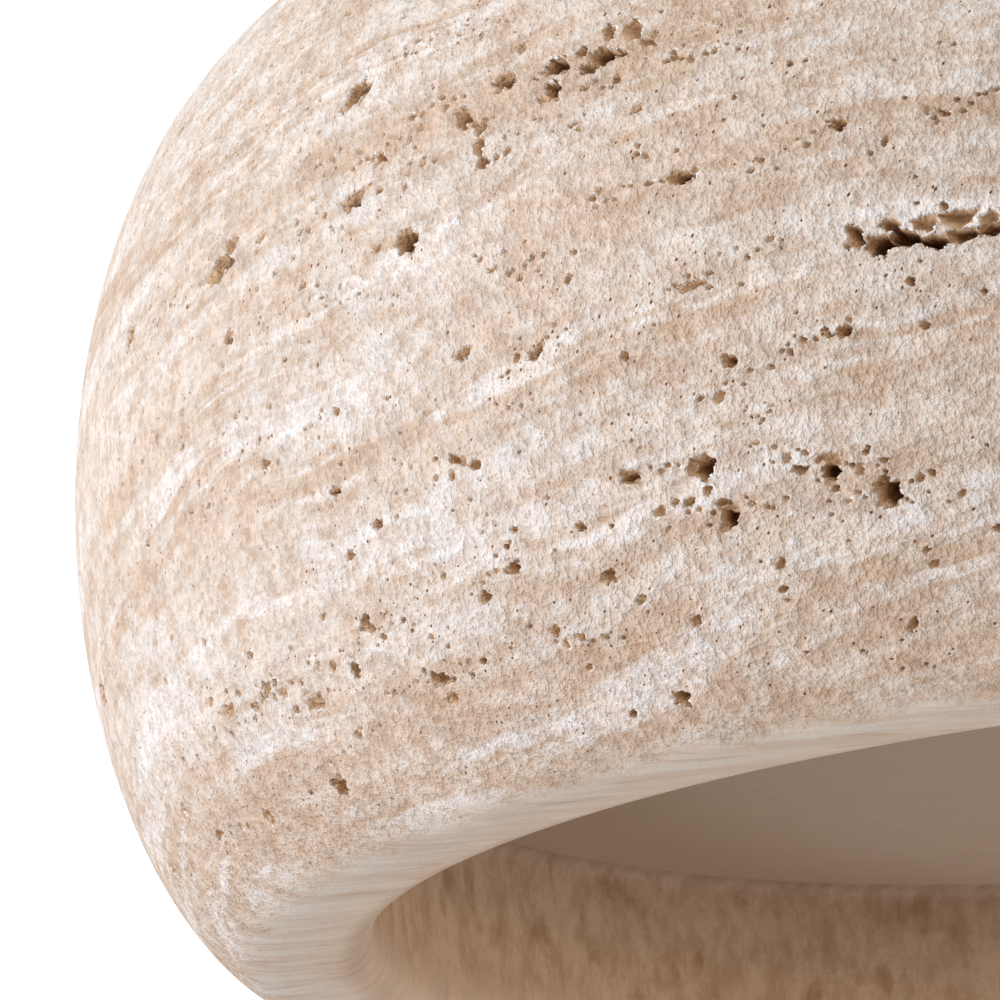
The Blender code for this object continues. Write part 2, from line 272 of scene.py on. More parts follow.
class BowlStone(bpy.types.PropertyGroup):
    """Colours and finish of the travertine."""

    cream: colour_setting("Cream bands", "Colour of the palest beds", (0.72, 0.64, 0.572))
    tan: colour_setting("Tan bands", "Colour of the warm, darker beds", (0.59, 0.445, 0.33))
    rose: colour_setting("Rose blush", "Colour of the pinkish clouds in the beds",
                         (0.665, 0.525, 0.415))
    # The cavities' tint: the stone's warmer tone with painted shade on the shallow walls, then
    # painted shade deeper in.
    pit_tone_and_shade: colour_setting("Earth", "Colour of the cavities' walls", (0.64, 0.42, 0.245))
    painted_pit_shade: colour_setting("Deep pore", "Colour deep in the cavities", (0.26, 0.125, 0.05))
    roughness: FloatProperty(
        name="Wall roughness", description="Roughness of the honed wall",
        subtype='FACTOR', min=0.0, max=1.0, default=0.62)
    fine_pits: IntProperty(
        name="Fine pits", description="Number of fine pits sunk into the skin",
        min=0, max=4000, default=1800)


class BowlStudio(bpy.types.PropertyGroup):
    """Floor and lights."""

    floor_width: FloatProperty(
        name="Floor width", description="Side of the square floor", unit='LENGTH',
        min=1.0, default=12.0)
    key_power: FloatProperty(
        name="Key power", description="Power of the large light on the right",
        unit='POWER', min=0.0, default=14.1)
    fill_power: FloatProperty(
        name="Fill power", description="Power of the light on the left of the camera",
        unit='POWER', min=0.0, default=0.8)
    rim_power: FloatProperty(
        name="Rim power", description="Power of the light from behind, across the rim",
        unit='POWER', min=0.0, default=7.3)
    floor_glow: FloatProperty(
        name="Floor glow", description="Light given off by the lit floor panel",
        min=0.0, default=1.15)


def soft_clip(value, limit):
    """Height held under the limit: value less a logarithmic ease as it nears the limit."""
    eased = limit - SHOULDER_BLEND * np.log1p(np.exp((limit - value) / SHOULDER_BLEND))
    return np.minimum(eased + SHOULDER_BLEND * 0.1, limit)


def bulge_half_height():
    across = 1.0 - (MAX_RADIUS - FACE_RADIUS) / BULGE_DEPTH
    return HEIGHT / 2 / math.sqrt(1.0 - across ** 2)


def arc(centre, radius, start, end, count=40):
    angle = np.linspace(start, end, count)
    return centre[0] + radius * np.cos(angle), centre[1] + radius * np.sin(angle)


class Skin:
    """The turned profile as tables over the distance run along it.

    The wall is half an ellipse, softly clipped at the base and the rim. A quarter circle
    rolls it into the hollow's upright wall, and a smaller one rolls that into the floor.
    """

    def __init__(self):
        angle = np.linspace(-math.pi / 2, math.pi / 2, 1600)
        rise = bulge_half_height() * np.sin(angle)
        radius = MAX_RADIUS - BULGE_DEPTH * (1.0 - np.cos(angle))
        height = HEIGHT / 2 + np.sign(rise) * soft_clip(np.abs(rise), HEIGHT / 2)
        rim = arc((HOLLOW_RADIUS + RIM_ROUND, HEIGHT - RIM_ROUND), RIM_ROUND,
                  math.pi / 2, math.pi)
        foot = arc((HOLLOW_RADIUS - FLOOR_ROUND, HEIGHT - HOLLOW_DEPTH + FLOOR_ROUND),
                   FLOOR_ROUND, 0.0, -math.pi / 2)
        radius = np.concatenate([radius, rim[0], foot[0]])
        height = np.concatenate([height, rim[1], foot[1]])
        run = np.concatenate([[0.0], np.cumsum(np.hypot(np.diff(radius),
                                                        np.diff(height)))])
        self.length = run[-1]
        self.run = np.linspace(0.0, self.length, 3600)
        self.radius = np.interp(self.run, run, radius)
        self.height = np.interp(self.run, run, height)
        across = np.gradient(self.radius, self.run)
        upward = np.gradient(self.height, self.run)
        size = np.hypot(across, upward)
        self.normal_out = upward / size
        self.normal_up = -across / size
        self.wall_end = run[angle.size - 1]
        upper = (self.run < self.wall_end) & (self.height > HEIGHT / 2)
        self.shoulder = np.interp(-FACE_RADIUS, -self.radius[upper], self.run[upper])

    def at(self, run):
        """Radius, height, and the normal's outward and upward parts, at each run."""
        return tuple(np.interp(run, self.run, table) for table in
                     (self.radius, self.height, self.normal_out, self.normal_up))

    def normal(self, turn, run):
        """Normals of the plain turned form."""
        _, _, out, up = self.at(run)
        return np.stack([out * np.sin(turn), -out * np.cos(turn), up], axis=-1)

    def run_on_wall(self, height):
        """Distance run at which the outer wall reaches each height."""
        wall = self.run <= self.wall_end
        return np.interp(height, self.height[wall], self.run[wall])

    def place(self, turn, run, sink):
        """Points at each turn and run, sunk below the skin against its normal."""
        radius, height, out, up = self.at(run)
        radius = radius - sink * out
        return np.stack([radius * np.sin(turn), -radius * np.cos(turn),
                         height - sink * up], axis=-1)


def wall_point(turn, height):
    rise = (height - HEIGHT / 2) / bulge_half_height()
    radius = MAX_RADIUS - BULGE_DEPTH * (1.0 - math.sqrt(1.0 - rise ** 2))
    return Vector((radius * math.sin(turn), -radius * math.cos(turn), height))


def bed_height(middle, turn):
    """Height at which a bed meets the wall, at a turn from the front."""
    return middle + math.tan(BEDDING_DIP) * MAX_RADIUS * math.cos(turn - BEDDING_RISE)


def bed_tilt(turn):
    """Slope of the beds along the wall, at a turn from the front."""
    return math.atan(math.tan(BEDDING_DIP) * math.sin(BEDDING_RISE - turn))


def row_cavities(dice, taken):
    """Cavities strung along the beds, clear of the places already taken."""
    cavities = []
    smallest, largest = ROW_CAVITY_SIZE
    for middle, count in CAVITY_ROWS:
        for index in range(count):
            turn = math.tau * (index + dice.uniform(0.1, 0.9)) / count
            height = (bed_height(middle, turn)
                      + dice.uniform(-ROW_HEIGHT_SPREAD, ROW_HEIGHT_SPREAD))
            size = smallest + (largest - smallest) * dice.random() ** 2
            tilt = bed_tilt(turn) + dice.uniform(-ROW_TILT_SPREAD, ROW_TILT_SPREAD)
            if FRONT_SECTOR[0] < turn < FRONT_SECTOR[1]:
                continue
            if not size * 2 < height < HEIGHT - size * 2:
                continue
            point = wall_point(turn, height)
            if all((point - other).length > ROW_CLEARANCE for other in taken):
                taken.append(point)
                mouth = size * ROW_MOUTH_SHARE
                cavities.append((turn, height, size * ROW_CAVITY_STRETCH, mouth, mouth, tilt))
    return cavities


def turned(along, across, lean):
    """Lengths aside and upward, from lengths along and across a lean."""
    cos, sin = np.cos(lean), np.sin(lean)
    return along * cos - across * sin, along * sin + across * cos


class PitList:
    """Pits sunk into the skin."""

    def __init__(self, skin, rng):
        self.skin = skin
        self.rng = rng
        self.rows = []

    def add(self, turn, run, length, mouth, depth, lean):
        """Add one pit of a length along its lean and a mouth across it."""
        turn = (turn + math.pi) % math.tau - math.pi
        if abs(turn) < math.pi - SEAM_MARGIN:
            self.rows.append((turn, run, length / 2, mouth / 2, depth, lean))

    def finish(self):
        """Turn the rows into arrays, and draw each pit's corners and apex."""
        table = np.array(self.rows)
        (self.turn, self.run, self.half_length, self.half_mouth,
         self.depth, self.lean) = table.T
        count = len(table)
        self.radius = self.skin.at(self.run)[0]
        self.reach = self.rng.uniform(*CORNER_REACH, (count, CORNERS))
        self.first_corner = self.rng.uniform(0.0, math.tau, count)
        self.size = 2 * np.minimum(self.half_length, self.half_mouth)
        self.deep_side = (DEEP_SIDE - self.lean
                          + self.rng.normal(0.0, DEEP_SIDE_SPREAD, count))
        shift = self.rng.uniform(*DEEP_SHIFT, count)
        self.apex = np.stack([shift * np.cos(self.deep_side),
                              shift * np.sin(self.deep_side)])

    def corner_reach(self, index, angle):
        """Reach of each pit's lip toward an angle.

        The reach of the chord between two corners at reaches a and b, an angle w apart, is
        a b sin w / (a sin v + b sin (w - v)) at an angle v from the first.
        """
        place = ((angle - self.first_corner[index]) / math.tau) % 1.0 * CORNERS
        corner = place.astype(int) % CORNERS
        apart = math.tau / CORNERS
        past = (place - np.floor(place)) * apart
        first, second = self.reach[index, corner], self.reach[index, (corner + 1) % CORNERS]
        chord = (first * second * math.sin(apart)
                 / (first * np.sin(past) + second * np.sin(apart - past)))
        return chord * (1.0 - EDGE_DIP * np.sin(math.pi * past / apart))

    def ring(self, index, sides, share, margin=0.0):
        """Turns and runs of points round some pits.

        They lie at a share of the way from apex to lip, and a margin beyond that.
        """
        index = np.asarray(index)[:, None]
        angle = (np.arange(sides) / sides * math.tau)[None, :] + self.first_corner[index]
        apex_along, apex_across = self.apex[0][index], self.apex[1][index]
        unit_along = apex_along + share * (np.cos(angle) - apex_along)
        unit_across = apex_across + share * (np.sin(angle) - apex_across)
        reach = self.corner_reach(index, np.arctan2(unit_across, unit_along))
        along = self.half_length[index] * reach * unit_along + margin * np.cos(angle)
        across = self.half_mouth[index] * reach * unit_across + margin * np.sin(angle)
        aside, upward = turned(along, across, self.lean[index])
        turn = self.turn[index] + aside / self.radius[index]
        return turn.ravel(), (self.run[index] + upward).ravel()

    def perimeter(self, k):
        return math.pi * (self.half_length[k] + self.half_mouth[k])

    def fill(self, k):
        """Turns and runs of an even, slightly scattered net of points inside one pit."""
        reach = max(self.half_length[k], self.half_mouth[k]) * CORNER_REACH[1]
        line = np.arange(-reach, reach, FILL_SPACING)
        along, across = (part.ravel() for part in np.meshgrid(line, line))
        scatter = self.rng.uniform(-0.3, 0.3, (2, along.size)) * FILL_SPACING
        along, across = along + scatter[0], across + scatter[1]
        unit_along, unit_across = along / self.half_length[k], across / self.half_mouth[k]
        lip = self.corner_reach(np.full(along.size, k), np.arctan2(unit_across, unit_along))
        inside = np.hypot(unit_along, unit_across) < lip * FILL_REACH
        aside, upward = turned(along[inside], across[inside], self.lean[k])
        return self.turn[k] + aside / self.radius[k], self.run[k] + upward

    def share_of(self, k, aside, upward):
        """Share of the way from pit k's apex to its lip, and cosine from its deep side.

        The reach of the lip brings a point p into the unit circle. With the apex a and the
        root s of |a + s (p - a)| = 1, the share is 1 / s.
        """
        along, across = turned(aside, upward, -self.lean[k])
        along, across = along / self.half_length[k], across / self.half_mouth[k]
        angle = np.arctan2(across, along)
        reach = self.corner_reach(np.full(angle.size, k), angle)
        along, across = along / reach, across / reach
        out = np.hypot(along, across)
        apex_along, apex_across = self.apex[:, k]
        step_along, step_across = along - apex_along, across - apex_across
        size = np.maximum(step_along ** 2 + step_across ** 2, 1e-12)
        toward = apex_along * step_along + apex_across * step_across
        room = 1.0 - apex_along ** 2 - apex_across ** 2
        root = (-toward + np.sqrt(toward ** 2 + size * room)) / size
        share = np.where(out < 1.0, 1.0 / np.maximum(root, 1e-6), out)
        return share, np.cos(angle - self.deep_side[k])

    def sink(self, turn, run):
        """Depth of each point, the least share of the way to any pit's lip, and painted lip
        highlight.

        A pit's fall is its depth times (1 - share**p) ** q, where p goes from 1.3 to 4 and q
        from 1.1 to 0.5 toward its steep side. Where pits meet, the deeper one holds.
        """
        order = np.argsort(turn)
        turn_sorted, run_sorted = turn[order], run[order]
        depth = np.zeros(turn.size)
        nearest = np.full(turn.size, 9.0)
        lip = np.zeros(turn.size)
        for k in range(self.turn.size):
            span = (self.half_length[k] + self.half_mouth[k]) * 1.7
            low, high = np.searchsorted(turn_sorted, [self.turn[k] - span / self.radius[k],
                                                      self.turn[k] + span / self.radius[k]])
            aside = (turn_sorted[low:high] - self.turn[k]) * self.radius[k]
            upward = run_sorted[low:high] - self.run[k]
            near = np.abs(upward) < span
            share, facing = self.share_of(k, aside[near], upward[near])
            here = order[low:high][near]
            steep = 0.5 + 0.5 * facing
            fall = self.depth[k] * (np.clip(1.0 - share ** (1.3 + 2.7 * steep), 0.0, 1.0)
                                    ** (1.1 - 0.6 * steep))
            depth[here] = np.maximum(depth[here], fall)
            nearest[here] = np.minimum(nearest[here], share)
            # Mask for a painted highlight on the lip of each pit's steep side, cleared where
            # the skin sinks more than 0.15 mm.
            edge = (np.abs(share - 1.0) < 0.02) * steep ** 2
            lip[here] = np.maximum(lip[here], edge)
        lip[depth > 0.15 * MILLIMETRE] = 0.0
        return depth, nearest, lip


def add_cavity(pits, rng, turn, height, length, mouth, depth, tilt):
    """One cavity: a main pocket, and smaller ones that bite into its lip."""
    run = float(pits.skin.run_on_wall(height))
    pits.add(turn, run, length, mouth, depth, tilt)
    bites = int(round(1.5 + length / mouth + rng.uniform(-0.5, 1.0)))
    for _ in range(bites):
        angle = rng.uniform(0.0, math.tau)
        size = mouth * rng.uniform(*BITE_SIZE)
        along = math.cos(angle) * length * BITE_PLACE
        across = math.sin(angle) * mouth * BITE_PLACE
        aside, upward = turned(along, across, tilt)
        pits.add(turn + aside / MAX_RADIUS, run + upward, size * rng.uniform(1.0, 1.5),
                 size, min(depth, size) * rng.uniform(0.5, 1.0), tilt)


def add_large_cavities(pits, rng):
    """The listed and the row cavities, at the solid's own places."""
    dice = random.Random(ROW_SEED)
    cavities = [(math.radians(turn), *(value * MILLIMETRE for value in sizes),
                 math.radians(tilt)) for turn, *sizes, tilt in FRONT_CAVITIES]
    taken = [wall_point(turn, height) for turn, height, *_ in cavities]
    for cavity in cavities[POCKETED:] + row_cavities(dice, taken):
        add_cavity(pits, rng, *cavity)
    for turn, height, *sizes, tilt in POCKETS:
        run = float(pits.skin.run_on_wall(height * MILLIMETRE))
        pits.add(math.radians(turn), run, *(value * MILLIMETRE for value in sizes),
                 math.radians(tilt))


def add_chains(pits, rng):
    """Pits strung along each chain, evenly but for a small scatter, and the single ones."""
    for turn_a, height_a, turn_b, height_b, count, smallest, largest in CHAINS:
        for index in range(count):
            share = (index + rng.uniform(0.0, 1.0)) / count
            turn = math.radians(turn_a + (turn_b - turn_a) * share)
            height = height_a + (height_b - height_a) * share + rng.normal(0.0, CHAIN_SCATTER)
            size = (smallest + (largest - smallest) * rng.random() ** 2) * CHAIN_SIZE
            pits.add(turn, float(pits.skin.run_on_wall(height * MILLIMETRE)),
                     size * rng.uniform(1.0, 1.7), size, size * rng.uniform(0.7, 1.1),
                     rng.normal(*SMALL_LEAN))
    for turn, height, size in SMALL_PITS:
        run = float(pits.skin.run_on_wall(height * MILLIMETRE))
        pits.add(math.radians(turn), run, size * rng.uniform(1.0, 1.4) * MILLIMETRE,
                 size * MILLIMETRE, size * rng.uniform(0.7, 1.0) * MILLIMETRE,
                 rng.normal(*SMALL_LEAN))


def add_fine_pits(pits, rng, count):
    """Fine pits: a share of them crowds along the beds, the others lie anywhere."""
    middles = np.array([middle for middle, _ in CAVITY_ROWS])
    weights = np.array([number for _, number in CAVITY_ROWS], dtype=float)
    smallest, largest = FINE_SIZE
    for _ in range(count):
        turn = rng.uniform(-math.pi, math.pi)
        if rng.random() < BEDDED_SHARE:
            middle = rng.choice(middles, p=weights / weights.sum())
            wander = BED_WAVE * math.sin(turn * 7.0 + middle * 900.0)
            height = bed_height(middle, turn) + wander + rng.normal(0.0, BEDDED_SCATTER)
        else:
            height = rng.uniform(END_MARGIN, HEIGHT - END_MARGIN)
        size = smallest + (largest - smallest) * rng.random() ** 3
        if not END_MARGIN < height < HEIGHT - 0.002 - size:
            continue
        pits.add(turn, float(pits.skin.run_on_wall(height)), size * rng.uniform(1.0, 1.7),
                 size, size * rng.uniform(0.8, 1.2), rng.normal(*FINE_LEAN))


def skin_rows(skin):
    """Runs of the plain rows: wide apart on the wall, close at the creases."""
    low, high = skin.run_on_wall(BASE_CREASE), skin.run_on_wall(HEIGHT - RIM_CREASE)
    base = np.arange(0.0, low, CREASE_SPACING * 1.5)
    wall = np.linspace(low, high, round((high - low) / WALL_SPACING) + 1)
    rim = np.arange(high, skin.wall_end + RIM_ROUND * math.pi / 2 + 0.002,
                    CREASE_SPACING)[1:]
    hollow = np.arange(rim[-1] + HOLLOW_SPACING, skin.length - 0.004, HOLLOW_SPACING)
    foot = np.linspace(skin.length - 0.0034, skin.length, 6)
    return np.unique(np.concatenate([base, wall, rim, hollow, foot]))


def skin_points(skin, pits):
    """Turns and runs of all the skin's points, between the two sides of the seam.

    Plain points lie on a grid. Rings of points take their place at each pit.
    """
    turn = np.linspace(-math.pi, math.pi, COLUMNS + 1)
    grid_turn, grid_run = (part.ravel() for part in np.meshgrid(turn, skin_rows(skin)))
    _, share, _ = pits.sink(grid_turn, grid_run)
    edge = ((np.abs(grid_turn) > math.pi - 1e-6) | (grid_run < 1e-9)
            | (grid_run > skin.length - 1e-9))
    keep = edge | (share > CLEAR_SHARE)
    turns, runs = [grid_turn[keep]], [grid_run[keep]]
    large = pits.size > LARGE_PIT
    middle = (pits.size > MIDDLE_PIT) & ~large
    small = ~large & ~middle
    groups = [([k], CORNERS * max(2, round(pits.perimeter(k) / LIP_SPACING / CORNERS)),
               ((1.0, 0.24), (1.0, 0.0), (0.95, 0.0))) for k in np.flatnonzero(large)]
    groups.append((np.flatnonzero(middle), 2 * CORNERS,
                   ((1.0, 0.12), (1.0, 0.0), (0.75, 0.0))))
    groups.append((np.flatnonzero(small), CORNERS, ((1.0, 0.09), (1.0, 0.0), (0.7, 0.0))))
    for k in np.flatnonzero(large):
        fill_turn, fill_run = pits.fill(k)
        turns.append(fill_turn)
        runs.append(fill_run)
    for index, sides, rings in groups:
        for share, margin in rings:
            ring_turn, ring_run = pits.ring(index, sides, share, margin * MILLIMETRE)
            turns.append(ring_turn)
            runs.append(ring_run)
        if len(index) > 1:
            ring_turn, ring_run = pits.ring(index, 1, 0.0)
            turns.append(ring_turn)
            runs.append(ring_run)
    turn, run = np.concatenate(turns), np.concatenate(runs)
    inside = (run >= 0.0) & (run <= skin.length) & (np.abs(turn) <= math.pi)
    return turn[inside], run[inside]


def fan(first, radius, height, count, shares, points, faces, upward):
    """Close a disc with rings at shares of its radius and one point in the middle."""
    turn = np.linspace(-math.pi, math.pi, count + 1)[:-1]
    previous = first
    total = sum(len(part) for part in points)
    for share in shares:
        ring = np.stack([radius * share * np.sin(turn), -radius * share * np.cos(turn),
                         np.full(count, height)], axis=-1)
        current = total + np.arange(count)
        points.append(ring)
        total += count
        after = np.roll(np.arange(count), -1)
        quads = np.stack([previous, previous[after], current[after], current], axis=-1)
        triangles = np.concatenate([quads[:, [0, 1, 2]], quads[:, [0, 2, 3]]])
        faces.append(triangles if upward else triangles[:, ::-1])
        previous = current
    points.append(np.array([[0.0, 0.0, height]]))
    after = np.roll(np.arange(count), -1)
    last = np.stack([previous, previous[after], np.full(count, total)], axis=-1)
    faces.append(last if upward else last[:, ::-1])


def vertex_normals(points, triangles):
    """Normal of each vertex: the sum of its triangles' normals, weighed by their areas."""
    corners = points[triangles]
    across = np.cross(corners[:, 1] - corners[:, 0], corners[:, 2] - corners[:, 0])
    normals = np.zeros_like(points)
    for corner in range(3):
        np.add.at(normals, triangles[:, corner], across)
    return normals / np.maximum(np.linalg.norm(normals, axis=1, keepdims=True), 1e-20)


def stone_skin(fine_pits):
    """Vertices, triangles, normals and vertex masks of the whole skin.

    Points outside the pits take the turned form's own normals, so that no streaks show.
    """
    skin = Skin()
    rng = np.random.default_rng(SKIN_SEED)
    pits = PitList(skin, rng)
    add_large_cavities(pits, rng)
    add_chains(pits, rng)
    add_fine_pits(pits, rng, fine_pits)
    pits.finish()
    turn, run = skin_points(skin, pits)
    flat = np.stack([turn * UNROLL_RADIUS, run], axis=-1) / MILLIMETRE
    made, _, triangles, *_ = delaunay_2d_cdt(flat.tolist(), [], [], 0, 1e-5)
    made = np.array([tuple(point) for point in made]) * MILLIMETRE
    triangles = np.array(triangles, dtype=np.int64)
    turn, run = made[:, 0] / UNROLL_RADIUS, made[:, 1]
    depth, _, lip = pits.sink(turn, run)
    points = skin.place(turn, run, depth)
    plain = skin.normal(turn, run)

    left = np.flatnonzero(turn < -math.pi + 1e-6)
    right = np.flatnonzero(turn > math.pi - 1e-6)
    left, right = left[np.argsort(run[left])], right[np.argsort(run[right])]
    target = np.arange(len(points))
    target[right] = left
    triangles = target[triangles]

    def edge_ring(value):
        ring = np.flatnonzero((np.abs(run - value) < 1e-8) & (turn < math.pi - 1e-6))
        return ring[np.argsort(turn[ring])]

    low, high = edge_ring(0.0), edge_ring(skin.length)
    parts, faces = [points], [triangles]
    fan(low, skin.radius[0], 0.0, COLUMNS, (0.92, 0.7, 0.4, 0.15), parts, faces, False)
    base_end = sum(len(part) for part in parts)
    fan(high, skin.radius[-1], skin.height[-1], COLUMNS, (0.93, 0.8, 0.6, 0.4, 0.2, 0.07),
        parts, faces, True)
    points = np.concatenate(parts)
    triangles = np.concatenate(faces)
    extra = len(points) - len(depth)
    discs = np.zeros((extra, 3))
    discs[:, 2] = np.where(np.arange(len(depth), len(points)) < base_end, -1.0, 1.0)
    plain = np.concatenate([plain, discs])
    depth = np.concatenate([depth, np.zeros(extra)])
    lip = np.concatenate([lip, np.zeros(extra)])
    inward = np.concatenate([run - skin.shoulder, np.where(discs[:, 2] < 0.0, -1.0, 1.0)])
    normals = vertex_normals(points, triangles)
    share = np.where(depth > 1e-7, 1.0, 0.5 * (lip > 0.0))[:, None]
    normals = normals * share + plain * (1.0 - share)
    used = np.unique(triangles)
    renumber = np.full(len(points), -1)
    renumber[used] = np.arange(len(used))
    masks = {"pit_depth": np.clip(depth / FULL_DEPTH, 0.0, 1.0)[used], "painted_lip_highlight": lip[used],
             "past_shoulder": np.clip(inward / 0.01, -3.0, 6.0)[used]}
    return points[used], renumber[triangles], normals[used], masks


def add_object(name, data):
    thing = bpy.data.objects.new(name, data)
    bpy.context.scene.collection.objects.link(thing)
    return thing


def mesh_object(name, points, triangles, normals, masks):
    mesh = bpy.data.meshes.new(name)
    mesh.vertices.add(len(points))
    mesh.vertices.foreach_set("co", points.astype(np.float32).ravel())
    mesh.loops.add(triangles.size)
    mesh.loops.foreach_set("vertex_index", triangles.astype(np.int32).ravel())
    mesh.polygons.add(len(triangles))
    mesh.polygons.foreach_set("loop_start", np.arange(0, triangles.size, 3, dtype=np.int32))
    for mask, values in masks.items():
        layer = mesh.attributes.new(mask, 'FLOAT', 'POINT')
        layer.data.foreach_set("value", values.astype(np.float32))
    mesh.update(calc_edges=True)
    if mesh.validate():
        raise RuntimeError(name + " has faulty faces")
    mesh.shade_smooth()
    mesh.normals_split_custom_set_from_vertices(normals.tolist())
    return add_object(name, mesh)


class BOWL_OT_stone(bpy.types.Operator):
    """Build the bowl's stone skin in place of the plain solid"""

    bl_idname = "bowl.stone"
    bl_label = "Stone Skin"

    def execute(self, context):
        settings = context.scene.bowl_stone
        points, triangles, normals, masks = stone_skin(settings.fine_pits)
        bowl = mesh_object("stone_bowl", points, triangles, normals, masks)
        bowl.data.materials.append(travertine(settings))
        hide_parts("bowl")
        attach(bowl, "root")
        return {'FINISHED'}


def set_inputs(tree, node, inputs):
    """Set inputs, each to a number, a colour, a vector or another node's output."""
    for key, value in inputs.items():
        socket = node.inputs[key]
        if isinstance(value, bpy.types.NodeSocket):
            tree.links.new(value, socket)
        else:
            socket.default_value = (*value, 1.0) if socket.type == 'RGBA' else value


def add_node(tree, kind, inputs, **settings):
    node = tree.nodes.new(kind)
    for name, value in settings.items():
        setattr(node, name, value)
    set_inputs(tree, node, inputs)
    return node


def new_material(name):
    """A material, its node tree and its shader."""
    material = bpy.data.materials.new(name)
    material.use_nodes = True
    return material, material.node_tree, material.node_tree.nodes["Principled BSDF"]


def calculate(tree, operation, first, second=0.0, third=0.0):
    node = add_node(tree, "ShaderNodeMath", {0: first, 1: second, 2: third},
                    operation=operation)
    return node.outputs[0]


def times(tree, first, second):
    return calculate(tree, 'MULTIPLY', first, second)


def weighed(tree, *parts):
    """Sum of (value, weight) pairs, each value times its weight."""
    total = 0.0
    for value, weight in parts:
        total = calculate(tree, 'MULTIPLY_ADD', value, weight, total)
    return total


def ramp(tree, value, start, end, low=0.0, high=1.0):
    """Ease from low to high as the value goes from start to end."""
    node = add_node(tree, "ShaderNodeMapRange",
                    {"Value": value, "From Min": start, "From Max": end, "To Min": low,
                     "To Max": high}, interpolation_type='SMOOTHSTEP')
    return node.outputs[0]


def blend_colour(tree, share, first, second, kind='MIX'):
    node = add_node(tree, "ShaderNodeMix", {0: share, 6: first, 7: second},
                    data_type='RGBA', blend_type=kind)
    return node.outputs[2]


def stretched(tree, vector, scale, shift):
    node = add_node(tree, "ShaderNodeVectorMath", {0: vector, 1: scale, 2: shift},
                    operation='MULTIPLY_ADD')
    return node.outputs[0]


def leaning(tree, vector):
    """A vector squeezed along the lean of the pinholes, which draws them out."""
    lean = (math.cos(DASH_LEAN), 0.0, math.sin(DASH_LEAN))
    along = add_node(tree, "ShaderNodeVectorMath", {0: vector, 1: lean},
                     operation='DOT_PRODUCT').outputs["Value"]
    size = times(tree, along, -DASH_SQUEEZE)
    away = add_node(tree, "ShaderNodeVectorMath", {0: lean, "Scale": size},
                    operation='SCALE').outputs[0]
    return add_node(tree, "ShaderNodeVectorMath", {0: vector, 1: away},
                    operation='ADD').outputs[0]


def cloud(tree, vector, scale, detail, roughness=0.5, shift=(0.0, 0.0, 0.0)):
    """Value of a noise texture, mostly between 0.3 and 0.7.

    The scale may be one number or one for each axis, which draws the noise out.
    """
    if isinstance(scale, tuple):
        vector = stretched(tree, vector, scale, shift)
        scale = 1.0
    node = add_node(tree, "ShaderNodeTexNoise", {"Vector": vector, "Scale": scale,
                                                 "Detail": detail, "Roughness": roughness})
    return node.outputs[0]


def new_group(name, inputs, outputs):
    """A shader node group with named sockets, and its input and output nodes."""
    tree = bpy.data.node_groups.new(name, "ShaderNodeTree")
    for socket, kind, default in inputs:
        made = tree.interface.new_socket(name=socket, in_out='INPUT',
                                         socket_type="NodeSocket" + kind)
        if default is not None:
            made.default_value = default
    for socket, kind in outputs:
        tree.interface.new_socket(name=socket, in_out='OUTPUT',
                                  socket_type="NodeSocket" + kind)
    return tree, tree.nodes.new("NodeGroupInput").outputs, tree.nodes.new("NodeGroupOutput")


def bedding_group():
    """Bed coordinates: across the stone's layers in Z, with slow waves, in metres."""
    tree, given, out = new_group("bedding", [("Vector", "Vector", None)],
                                 [("Vector", "Vector")])
    point = given["Vector"]
    slope = math.tan(BEDDING_DIP)
    rise = (-slope * math.sin(BEDDING_RISE), slope * math.cos(BEDDING_RISE), 1.0)
    bed = add_node(tree, "ShaderNodeVectorMath", {0: point, 1: rise},
                   operation='DOT_PRODUCT').outputs["Value"]
    for scale, detail, height in ((14.0, 1.0, 0.016), (55.0, 2.0, 0.004)):
        wave = cloud(tree, point, scale, detail)
        bed = calculate(tree, 'MULTIPLY_ADD', wave, height, bed)
    apart = add_node(tree, "ShaderNodeSeparateXYZ", {0: point}).outputs
    joined = add_node(tree, "ShaderNodeCombineXYZ", {0: apart[0], 1: apart[1], 2: bed})
    set_inputs(tree, out, {"Vector": joined.outputs[0]})
    return tree


